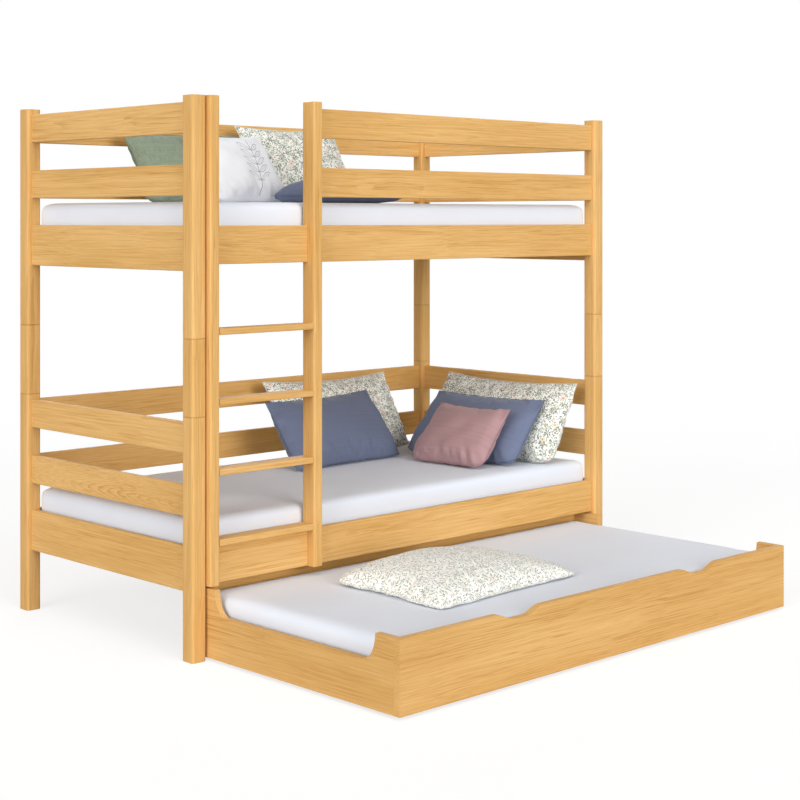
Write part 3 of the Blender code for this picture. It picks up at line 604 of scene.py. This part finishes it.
def sprig_print(name):
    """White cotton with one drawn sprig: a thin bent stem, and leaf outlines in pairs along it."""
    look = settings().cotton
    finish = Finish(f"cotton_{name}")
    cloth = finish.cloth()
    across, along, _ = finish.split(cloth)
    bend = (along * 11.0 + 0.6).math("SINE") * 0.018
    beside = abs(across - bend - 0.035)
    stem = (beside < SPRIG_LINE) * (along > STEM_ENDS[0]) * (along < STEM_ENDS[1])
    level = along - beside * LEAF_SLANT
    near = (level / LEAF_STEP).math("FRACT") * LEAF_STEP - LEAF_STEP / 2
    run = beside / LEAF_LONG
    plump = (run * math.pi).math("SINE") * LEAF_HALF
    leafy = (level > LEAF_SPAN[0]) * (level < LEAF_SPAN[1])
    outline = (abs(abs(near) - plump) < SPRIG_LINE) * (run < 1.0) * leafy
    rib = (abs(near) < SPRIG_LINE * 0.6) * (run < 0.8) * leafy
    drawn = (stem + outline + rib).math("MINIMUM", 1)
    cloudy = finish.noise(cloth, 14, 2, 0.5).softly_over(0.5, 0.5)
    colour = finish.mix(cloudy * 0.3, look.white, (0.80, 0.81, 0.84))
    colour = finish.mix(drawn * 0.8, colour, look.ink)
    return printed(finish, cloth, colour, 22.0, 0.3)


KNIT_PITCH = 0.0016
SHEET_SHADE = (0.74, 0.755, 0.80)


def sheet_cotton(name, number):
    """The white cover of a mattress, with a fine knit and soft creases."""
    finish = Finish(f"sheet_{name}")
    place = finish.place()
    across, along, up = (part * (math.pi / KNIT_PITCH) for part in finish.split(place))
    knit = abs((across + up).math("SINE")) * abs((along + up).math("SINE"))
    soft = finish.noise(finish.vector("ADD", place, (number * 3.1, 0, 0)), 5.0, 3, 0.5)
    # the lower mattress's cover is drawn darker: painted shade from under the upper bunk
    sheet = with_painted_shade(settings().cotton.sheet, name)
    colour = finish.mix(soft.softly_over(0.5, 0.5) * 0.2, sheet, with_painted_shade(SHEET_SHADE, name))
    creases = finish.noise(finish.vector("MULTIPLY", place, (1.0, 1.6, 2.5)), 7.0, 3, 0.5, 0.8)
    normal = finish.bump(creases, 0.006, 0.2, finish.bump(knit, 0.0004, 0.2))
    return dull(finish, colour, normal, 0.88)


def sewn_edge(name, colour):
    """The doubled cloth of a sewn edge, with its stitches."""
    finish = Finish(f"edge_{name}")
    place = finish.place()
    thread = finish.noise(place, 700, 2, 0.6)
    darker = tuple(0.7 * part for part in colour)
    shade = finish.mix(thread.softly_over(0.5, 0.3) * 0.5, colour, darker)
    normal = finish.bump(thread, 0.0004, 0.5)
    return dull(finish, shade, normal, thread * 0.1 + 0.82, sheen=0)


def castor_plastic():
    """Dark moulded plastic, with fine grit and a little dust."""
    finish = Finish("castor_plastic")
    place = finish.place()
    grit = finish.noise(place, 900, 2, 0.6)
    dust = finish.noise(place, 60, 3, 0.5).softly_over(0.55, 0.3)
    colour = finish.mix(dust * 0.25, (0.045, 0.045, 0.05), (0.16, 0.15, 0.14))
    normal = finish.bump(grit, 0.0003, 0.3)
    return finish.surface(Base_Color=colour, Roughness=grit * 0.2 + 0.35, Normal=normal)


# Soft pieces


def mesh_object(name, bm, material):
    mesh = bpy.data.meshes.new(name)
    bm.to_mesh(mesh)
    bm.free()
    mesh.materials.append(material)
    mesh.shade_smooth()
    return placed(name, mesh)


def pillow_point(pillow, u, v, side):
    """One point of a pillow in its own plane: side is 1 in front, -1 behind."""
    wide, high, thick = pillow.size
    pull = Vector((0, 0, 0))
    for (across, up), shift in CORNER_PULLS.get(pillow.name, {}).items():
        pull += Vector(shift) * (1 + across * u) / 2 * (1 + up * v) / 2
    drawn = 1 - pillow.waist * (1 - v * v)
    bulge = max((1 - u * u) * (1 - v * v), 0.0)
    if pillow.lean != LYING:
        low_down = min(v, 0.0) ** 2
        x = u * wide / 2 * (drawn - pillow.tuck / 3 * low_down)
        sag = SAGS.get(pillow.name, SAG) if v > 0 else SAG
        y = v * high / 2 * (1 - sag * (1 - u * u)) + pillow.tuck * high * low_down * u**6
        crown = bulge**CROWN_POWER * (1 - SLUMP * v)
        return pull + Vector((x, y, side * thick / 2 * crown))
    blunt = LYING_DRAWN * (u * v) ** 8
    x = u * wide / 2 * (drawn - blunt)
    y = v * high / 2 * (1 - LYING_DRAWN * (1 - u * u) - blunt)
    under = UNDER_SEAM[pillow.bed]
    crown = bulge ** (CROWN_POWER if side > 0 else UNDER_POWER) * (1 - LOPSIDED * u)
    return pull + Vector((x, y, thick * crown * (1 - under if side > 0 else -under)))


def wave(x, y, z):
    return noise.noise(Vector((x, y, z)))


def sewn_point(pillow, number, u, v, side):
    """One point of a pillow whose edge is drawn in here and there by its stitches."""
    spot = pillow_point(pillow, u, v, side)
    for axis, way, start in ((X, u, number), (Y, v, number + 0.5)):
        place = spot[1 - axis] / EDGE_WAVE_LONG
        depth = EDGE_WAVE * wave(place, (start + 0.25 * (way > 0)) * 7.3, 0.5)
        spot[axis] += way * abs(way) ** 7 * depth
    return spot


def eased(count):
    """Steps from -1 to 1 that lie closer together near both ends."""
    evenly = [2 * step / count - 1 for step in range(count + 1)]
    return [0.5 * along + 0.5 * math.sin(math.pi / 2 * along) for along in evenly]


def pillow_grid(pillow, number):
    """A pillow's mesh in place on its bed, the points of its seam, and each point's place on its cloth."""
    wide, high = pillow.size[:2]
    columns, rows = (2 * round(side / settings().padding.cell / 2) for side in (wide, high))
    bm = bmesh.new()
    uv = bm.loops.layers.uv.new("cloth")
    seam, cloth = {}, {}
    for side in (1, -1):
        spots = [[sewn_point(pillow, number, u, v, side) for u in eased(columns)] for v in eased(rows)]
        grid = {}
        for row, v in enumerate(eased(rows)):
            for column, u in enumerate(eased(columns)):
                edge = row in (0, rows) or column in (0, columns)
                vert = seam.get((row, column))
                if vert is None:
                    vert = bm.verts.new(spots[row][column])
                    cloth[vert] = (u * wide / 2, v * high / 2, 0 if edge else side)
                if edge:
                    seam[row, column] = vert
                grid[row, column] = vert
        across = [lengths_from_middle(line) for line in spots]
        upward = [lengths_from_middle(line) for line in zip(*spots)]
        shift = 0.0 if side > 0 else 5.0
        for row in range(rows):
            for column in range(columns):
                right, above = column + 1, row + 1
                corners = ((row, column), (row, right), (above, right), (above, column))[::side]
                face = bm.faces.new([grid[corner] for corner in corners])
                for loop, (r, c) in zip(face.loops, corners):
                    loop[uv].uv = (across[r][c] + shift, upward[c][r] + shift / 2)
    turn = Matrix.Rotation(math.radians(pillow.turn), 4, "Z")
    lean = 0.0 if pillow.lean == LYING else 90 - pillow.lean
    bm.transform(turn @ Matrix.Rotation(math.radians(lean), 4, "X"))
    points = np.array([tuple(vert.co) for vert in bm.verts])
    low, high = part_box(pillow.name)
    shift = (low + high) / 2 - Vector((points.min(0) + points.max(0)) / 2)
    shift += Vector(NUDGES.get(pillow.name, (0, 0, 0)))
    if pillow.lean == LYING:
        shift.z = low.z - points[:, Z].min()
    bmesh.ops.translate(bm, vec=shift, verts=bm.verts)
    order = [seam[0, c] for c in range(columns)] + [seam[r, columns] for r in range(rows)]
    order += [seam[rows, c] for c in range(columns, 0, -1)] + [seam[r, 0] for r in range(rows, 0, -1)]
    bm.verts.index_update()
    return bm, [vert.index for vert in order], [cloth[vert] for vert in bm.verts]


def lengths_from_middle(line):
    """How far each point of a line lies from its middle one, along the line."""
    steps = [(b - a).length for a, b in zip(line, line[1:])]
    lengths = np.concatenate([[0], np.cumsum(steps)])
    return lengths - lengths[len(line) // 2]


def crease(piece, pillow, cloth, number):
    """Puckers along the seam, upright folds at the bottom of a leaning pillow, and soft hollows."""
    wide, high = pillow.size[:2]
    normals = [vert.normal.copy() for vert in piece.data.vertices]
    for vert, normal, (x, y, side) in zip(piece.data.vertices, normals, cloth):
        if side == 0:
            continue
        start = number * 3.7 + side
        beside, above = wide / 2 - abs(x), high / 2 - abs(y)
        rise = PUCKER * math.exp(-beside / PUCKER_REACH) * wave(y / PUCKER_LONG, start, 1.5 + (x > 0))
        rise += PUCKER * math.exp(-above / PUCKER_REACH) * wave(x / PUCKER_LONG, start, 3.5 + (y > 0))
        if pillow.lean != LYING:
            low_down = max(0.0, FOLD_REACH - (y / high + 0.5)) / FOLD_REACH
            fold = wave(x / FOLD_WIDE + 0.35 * y / FOLD_WIDE, y / FOLD_LONG, start)
            rise += FOLD * low_down**1.4 * fold
        rise += HOLLOW * wave(x / HOLLOW_LONG, y / HOLLOW_LONG, start)
        close = 1 - math.exp(-min(beside, above) / BESIDE_SEAM)
        vert.co += normal * rise * close * pillow.creases
    piece.data.update()


def rounded_pad(low, high, radius, cell):
    """A box of even cells whose edges and corners are rounded, by one radius for each axis."""
    bm = bmesh.new()
    bmesh.ops.create_cube(bm, size=1)
    size, middle = high - low, (high + low) / 2
    for vert in bm.verts:
        vert.co = Vector([middle[a] + vert.co[a] * size[a] for a in range(3)])
    for axis in range(3):
        along = [e for e in bm.edges if abs(e.verts[0].co[axis] - e.verts[1].co[axis]) > size[axis] / 2]
        cuts = max(4, round(size[axis] / cell)) - 1
        bmesh.ops.subdivide_edges(bm, edges=along, cuts=cuts, use_grid_fill=True)
    for vert in bm.verts:
        core = Vector([min(max(vert.co[a], low[a] + radius[a]), high[a] - radius[a]) for a in range(3)])
        away = Vector([(vert.co[a] - core[a]) / radius[a] for a in range(3)]).normalized()
        vert.co = core + away * Vector(radius)
    return bm


def coordinates(piece):
    flat = np.empty(len(piece.data.vertices) * 3)
    piece.data.vertices.foreach_get("co", flat)
    return flat.reshape(-1, 3)


def fill_covers(pieces, pins, slack, caps):
    """Swells closed covers by cloth simulation, with some points pinned, and caps how far they move."""
    padding = settings().padding
    scene = bpy.context.scene
    starts = [coordinates(piece) for piece in pieces]
    for piece, pinned in zip(pieces, pins):
        piece.vertex_groups.new(name="pinned").add(pinned, 1.0, "REPLACE")
        cloth = piece.modifiers.new("cloth", "CLOTH")
        for key, value in CLOTH.items():
            setattr(cloth.settings, key, value)
        cloth.settings.uniform_pressure_force = padding.pressure
        cloth.settings.shrink_min = -slack
        cloth.settings.effector_weights.gravity = 0
        cloth.point_cache.frame_end = padding.frames
    for number in range(1, padding.frames + 1):
        scene.frame_set(number)
    graph = bpy.context.evaluated_depsgraph_get()
    moved = [coordinates(piece.evaluated_get(graph)) for piece in pieces]
    for piece, start, end, cap in zip(pieces, starts, moved, caps):
        piece.modifiers.clear()
        piece.vertex_groups.clear()
        step = end - start
        far = np.linalg.norm(step, axis=1, keepdims=True)
        step *= np.minimum(1, cap * np.tanh(far / cap) / np.maximum(far, 1e-9))
        piece.data.vertices.foreach_set("co", (start + step).ravel())
        piece.data.update()
    scene.frame_set(1)


def tree_of(piece):
    return BVHTree.FromPolygons(
        [vert.co for vert in piece.data.vertices], [tuple(face.vertices) for face in piece.data.polygons]
    )


def keep_clear(piece, trees):
    """Presses a soft piece flat where it would reach into a neighbour."""
    gap = settings().padding.clearance
    for tree in trees:
        for vert in piece.data.vertices:
            near, normal, _, _ = tree.find_nearest(vert.co, REACH)
            if near is not None:
                vert.co += normal * max(gap - (vert.co - near).dot(normal), 0)
    piece.data.update()


def boxes_meet(a, b):
    return all(a[0][k] - NEAR < b[1][k] and b[0][k] - NEAR < a[1][k] for k in range(3))


def wood_near(name):
    """Trees of the wooden solids beside a soft one of the same body."""
    body, near = frame["nodes"][name]["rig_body"], []
    for other, node in frame["nodes"].items():
        soft = other.endswith(("_pillow", "_mattress"))
        if not soft and node["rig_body"] == body and boxes_meet(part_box(name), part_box(other)):
            bm = bmesh.new()
            bm.from_mesh(node.data)
            bmesh.ops.remove_doubles(bm, verts=bm.verts, dist=0.00005)
            near.append(BVHTree.FromBMesh(bm))
            bm.free()
    return near


def dress(piece, node):
    """Smooths a soft piece, hides the solid it replaces and attaches it to the body it rides on."""
    smooth = piece.modifiers.new("soften", "SUBSURF")
    smooth.levels = smooth.render_levels = 1
    body = frame["nodes"][node]["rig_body"]
    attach(piece, body)
    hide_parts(node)


def seam_tree():
    """Geometry Nodes that lay a round sewn edge along a closed line of points."""
    tree = bpy.data.node_groups.new("sewn_edge", "GeometryNodeTree")
    sockets = {"Geometry": "Geometry", "Radius": "Float", "Sides": "Int", "Cloth": "Material"}
    for name, kind in sockets.items():
        tree.interface.new_socket(name, in_out="INPUT", socket_type=f"NodeSocket{kind}")
    tree.interface.new_socket("Geometry", in_out="OUTPUT", socket_type="NodeSocketGeometry")
    kinds = (
        "NodeGroupInput", "GeometryNodeMeshToCurve", "GeometryNodeCurveToMesh", "GeometryNodeSetShadeSmooth",
        "GeometryNodeRealizeInstances", "GeometryNodeSetMaterial", "NodeGroupOutput",
    )
    steps = [tree.nodes.new(kind) for kind in kinds]
    for step, following in zip(steps, steps[1:]):
        tree.links.new(step.outputs[0], following.inputs[0])
    start, _, sweep, _, _, cover, _ = steps
    ring = tree.nodes.new("GeometryNodeCurvePrimitiveCircle")
    tree.links.new(start.outputs["Radius"], ring.inputs["Radius"])
    tree.links.new(start.outputs["Sides"], ring.inputs["Resolution"])
    tree.links.new(ring.outputs["Curve"], sweep.inputs["Profile Curve"])
    tree.links.new(start.outputs["Cloth"], cover.inputs["Material"])
    return tree


def plain_mesh(guide, tree, name, **values):
    """The result of a Geometry Nodes tree on a guide, as a new object with a plain mesh."""
    modifier = guide.modifiers.new(tree.name, "NODES")
    modifier.node_group = tree
    named = {item.name: item.identifier for item in tree.interface.items_tree if item.in_out == "INPUT"}
    for key, value in values.items():
        modifier[named[key]] = value
    graph = bpy.context.evaluated_depsgraph_get()
    mesh = bpy.data.meshes.new_from_object(guide.evaluated_get(graph), depsgraph=graph)
    bpy.data.objects.remove(guide)
    mesh.name = name
    return placed(name, mesh)


def cover_material(pillow):
    if pillow.cover == "flower":
        return flower_print(pillow.name, PRINT_INK_AND_PAINTED_LIGHT[pillow.bed])
    if pillow.cover == "white":
        return sprig_print(pillow.name)
    # some plain covers are drawn darker: painted shade
    colour = with_painted_shade(getattr(settings().cotton, pillow.cover), pillow.name)
    return cotton(pillow.name, colour, *WEAVES[pillow.cover])


# Operators, one for each group of pieces


def nodes_ending(*endings):
    return sorted(name for name in frame["nodes"] if name.endswith(endings))


def wear(node, material):
    """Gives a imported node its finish."""
    for slot in frame["nodes"][node].material_slots:
        slot.material = material


class BUNKBED_OT_posts(bpy.types.Operator):
    """Finish the eight post pieces in upright pine"""

    bl_idname = "bunk_bed.posts"
    bl_label = "Posts"

    def execute(self, context):
        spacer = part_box("lower_back_top_rail")[1].z + SPACER_STEP
        for number, name in enumerate(nodes_ending("_post")):
            low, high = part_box(name)
            if "_lower_" in name:
                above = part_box(name.replace("lower", "upper"))[0].z
                top = high.z if name.startswith("front_left") else above
                wear(name, pine(name, Z, number + 1, spacer_from=spacer, seams=(spacer, top)))
            else:
                wear(name, pine(name, Z, number + 1, seams=(low.z,)))
        return {"FINISHED"}


class BUNKBED_OT_boards(bpy.types.Operator):
    """Finish the bed boards and rails in pine along their length"""

    bl_idname = "bunk_bed.boards"
    bl_label = "Boards and rails"

    def execute(self, context):
        for number, name in enumerate(nodes_ending("_board", "_rail")):
            run = Y if "_left_" in name or "_right_" in name else X
            wear(name, pine(name, run, number + 20))
        return {"FINISHED"}


class BUNKBED_OT_ladder(bpy.types.Operator):
    """Finish the ladder's stiles and rungs"""

    bl_idname = "bunk_bed.ladder"
    bl_label = "Ladder"

    def execute(self, context):
        for number, name in enumerate(sorted(n for n in frame["nodes"] if n.startswith("ladder_"))):
            wear(name, pine(name, Z if name.endswith("stile") else X, number + 50))
        return {"FINISHED"}


class BUNKBED_OT_slats(bpy.types.Operator):
    """Finish the three slat bases, their ledgers and the drawer's castor forks"""

    bl_idname = "bunk_bed.slats"
    bl_label = "Slat bases"

    def execute(self, context):
        for number, name in enumerate(("lower_slat_base", "upper_slat_base", "drawer_slat_base")):
            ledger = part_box(name)[1].z - LEDGER_DROP
            fork = FORK_TOP if name.startswith("drawer") else None
            wear(name, pine(name, Y, number + 60, ledger_below=ledger, fork_below=fork))
        return {"FINISHED"}


class BUNKBED_OT_drawer(bpy.types.Operator):
    """Finish the drawer's four panels and its castor wheels"""

    bl_idname = "bunk_bed.drawer"
    bl_label = "Drawer"

    def execute(self, context):
        runs = {"front": X, "back": X, "left": Y, "right": Y}
        for number, (side, run) in enumerate(runs.items()):
            wear(f"drawer_{side}_panel", pine(f"drawer_{side}_panel", run, number + 70))
        plastic = castor_plastic()
        for name in nodes_ending("_wheel"):
            wear(name, plastic)
        return {"FINISHED"}


class BUNKBED_OT_mattresses(bpy.types.Operator):
    """Make the three mattresses, filled by cloth simulation"""

    bl_idname = "bunk_bed.mattresses"
    bl_label = "Mattresses"

    def execute(self, context):
        padding = settings().padding
        pieces, pins = [], []
        for number, bed in enumerate(("lower", "upper", "drawer")):
            low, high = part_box(f"{bed}_mattress")
            inset = Vector((1, 1, 1)) * padding.mattress_cap * 0.6
            bm = rounded_pad(low + inset, high - inset, MATTRESS_ROUNDING, MATTRESS_CELL)
            bm.verts.index_update()
            pins.append([vert.index for vert in bm.verts if vert.co.z < low.z + inset.z + 0.004])
            pieces.append(mesh_object(f"{bed}_mattress_cover", bm, sheet_cotton(f"{bed}_mattress", number)))
        fill_covers(pieces, pins, MATTRESS_SLACK, [padding.mattress_cap] * len(pieces))
        for piece in pieces:
            node = piece.name.removesuffix("_cover")
            keep_clear(piece, wood_near(node))
            dress(piece, node)
        return {"FINISHED"}


class BUNKBED_OT_pillows(bpy.types.Operator):
    """Make the ten pillows, filled by cloth simulation, with their sewn edges"""

    bl_idname = "bunk_bed.pillows"
    bl_label = "Pillows"

    def execute(self, context):
        padding = settings().padding
        pieces, seams, cloths = [], [], []
        for number, pillow in enumerate(PILLOWS):
            bm, seam, cloth = pillow_grid(pillow, number)
            pieces.append(mesh_object(f"{pillow.name}_cover", bm, cover_material(pillow)))
            seams.append(seam)
            cloths.append(cloth)
        caps = [padding.pillow_cap * (0.4 if pillow.lean == LYING else 1.0) for pillow in PILLOWS]
        fill_covers(pieces, seams, padding.slack, caps)
        trees = {}
        tree = seam_tree()
        for number, (pillow, piece, seam) in enumerate(zip(PILLOWS, pieces, seams)):
            crease(piece, pillow, cloths[number], number)
            body = frame["nodes"][pillow.name]["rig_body"]
            mattress = bpy.data.objects[f"{pillow.bed}_mattress_cover"]
            near = [*wood_near(pillow.name), tree_of(mattress)]
            near += [trees[other] for other in trees if boxes_meet(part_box(other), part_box(pillow.name))]
            keep_clear(piece, near)
            trees[pillow.name] = tree_of(piece)
            guide = bmesh.new()
            points = [guide.verts.new(piece.data.vertices[index].co) for index in seam]
            for before, point in zip([points[-1], *points], points):
                guide.edges.new((before, point))
            line = mesh_object(f"{pillow.name}_guide", guide, piece.data.materials[0])
            tint = getattr(settings().cotton, {"flower": "ground"}.get(pillow.cover, pillow.cover))
            cloth = sewn_edge(pillow.name, tuple(0.85 * part for part in tint))
            edge = plain_mesh(line, tree, f"{pillow.name}_edge", Radius=padding.seam, Sides=6, Cloth=cloth)
            dress(piece, pillow.name)
            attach(edge, body)
            if pillow.bed == "drawer":
                for soft in (piece, edge):
                    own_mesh(soft)
        return {"FINISHED"}


class BUNKBED_OT_stage(bpy.types.Operator):
    """Set up the camera, the floor, the lamps and the white world"""

    bl_idname = "bunk_bed.stage"
    bl_label = "Stage"

    def execute(self, context):
        place_camera(context.scene)
        lay_floor()
        light_world(context.scene)
        hang_lamps()
        context.scene.view_settings.view_transform = "Standard"
        return {"FINISHED"}


def place_camera(scene):
    """The photograph's camera: level, with its frame shifted right and down."""
    camera = bpy.data.cameras.new("camera")
    camera.lens = 73.877
    camera.shift_x, camera.shift_y = 0.1375, -0.22625
    camera.clip_end = 200
    holder = placed("camera", camera)
    holder.location = (-4.2879, -4.1339, 1.4056)
    holder.rotation_euler = (math.pi / 2, 0, math.radians(-41.965))
    scene.camera = holder


def lay_floor():
    """A large pale floor, a little brighter to the camera, which keeps the bed's shadow."""
    bm = bmesh.new()
    bmesh.ops.create_grid(bm, x_segments=2, y_segments=2, size=60)
    finish = Finish("pale_floor")
    floor = mesh_object("floor", bm, finish.made)
    look = settings().stage
    camera_ray = finish.node("ShaderNodeLightPath")
    grain = finish.noise(finish.place(), 3.0, 2, 0.5)
    colour = finish.mix(grain * 0.04, look.floor, (0.60, 0.60, 0.60))
    colour = finish.mix(camera_ray, colour, (0.35, 0.35, 0.35))
    lift = finish.mix(camera_ray, (0, 0, 0), (0.73, 0.73, 0.73))
    finish.surface(
        Base_Color=colour, Roughness=0.95, Specular_IOR_Level=0.0, Emission_Color=lift, Emission_Strength=1.0
    )


def light_world(scene):
    """White to the camera and in reflections, and a plain even light on everything else."""
    finish = Finish("studio", "worlds", "Background")
    rays = finish.node("ShaderNodeLightPath").socket.node.outputs
    names = ("Is Camera Ray", "Is Glossy Ray", "Is Transmission Ray")
    camera, glossy, through = (Value(finish, rays[name]) for name in names)
    seen = camera.math("MAXIMUM", glossy).math("MAXIMUM", through)
    inputs = {"Value": seen, "To Min": settings().stage.world}
    strength = finish.node("ShaderNodeMapRange", None, inputs)
    scene.world = finish.surface(Color=(1, 1, 1), Strength=strength)


def hang_lamps():
    """Wide soft lamps far away: before the ladder end, before the front, overhead and behind."""
    lamps = (
        # name, direction, power and spread in degrees
        ("end_lamp", (-1, -0.22, 0.26), 1.72, 36),
        ("front_lamp", (-0.12, -1, 0.18), 1.80, 32),
        ("top_lamp", (-0.25, -0.45, 1), 0.84, 60),
        ("back_lamp", (0.75, 1, 0.12), 1.0, 40),
    )
    for name, side, power, spread in lamps:
        lamp = bpy.data.lights.new(name, "SUN")
        lamp.angle = math.radians(spread)
        lamp.energy = power * settings().stage.lamps
        holder = placed(name, lamp)
        holder.location = 6 * Vector(side)
        holder.rotation_euler = Vector(side).to_track_quat("Z", "Y").to_euler()


class BunkBedSettings(bpy.types.PropertyGroup):
    """All that a user may change."""

    pine: PointerProperty(type=PineSettings)
    cotton: PointerProperty(type=CottonSettings)
    padding: PointerProperty(type=PaddingSettings)
    stage: PointerProperty(type=StageSettings)


OPERATORS = (
    BUNKBED_OT_stage,
    BUNKBED_OT_posts,
    BUNKBED_OT_boards,
    BUNKBED_OT_ladder,
    BUNKBED_OT_slats,
    BUNKBED_OT_drawer,
    BUNKBED_OT_mattresses,
    BUNKBED_OT_pillows,
)


class BUNKBED_PT_looks(bpy.types.Panel):
    """Lists the bed's settings and the steps that dress it"""

    bl_idname = "BUNKBED_PT_looks"
    bl_label = "Bunk Bed"
    bl_space_type = "VIEW_3D"
    bl_region_type = "UI"
    bl_category = "Bunk Bed"

    def draw(self, context):
        for part in BunkBedSettings.__annotations__:
            box, group = self.layout.box(), getattr(settings(), part)
            for name in group.__annotations__:
                box.prop(group, name)
        for operator in OPERATORS:
            self.layout.operator(operator.bl_idname)


CLASSES = (PineSettings, CottonSettings, PaddingSettings, StageSettings, BunkBedSettings)
CLASSES += (*OPERATORS, BUNKBED_PT_looks)


def register():
    for cls in CLASSES:
        bpy.utils.register_class(cls)
    bpy.types.Scene.bunk_bed = PointerProperty(type=BunkBedSettings)


def unregister():
    del bpy.types.Scene.bunk_bed
    for cls in reversed(CLASSES):
        bpy.utils.unregister_class(cls)


def main():
    register()
    for operator in OPERATORS:
        group, name = operator.bl_idname.split(".")
        getattr(getattr(bpy.ops, group), name)()


if __name__ == "__main__":
    main()
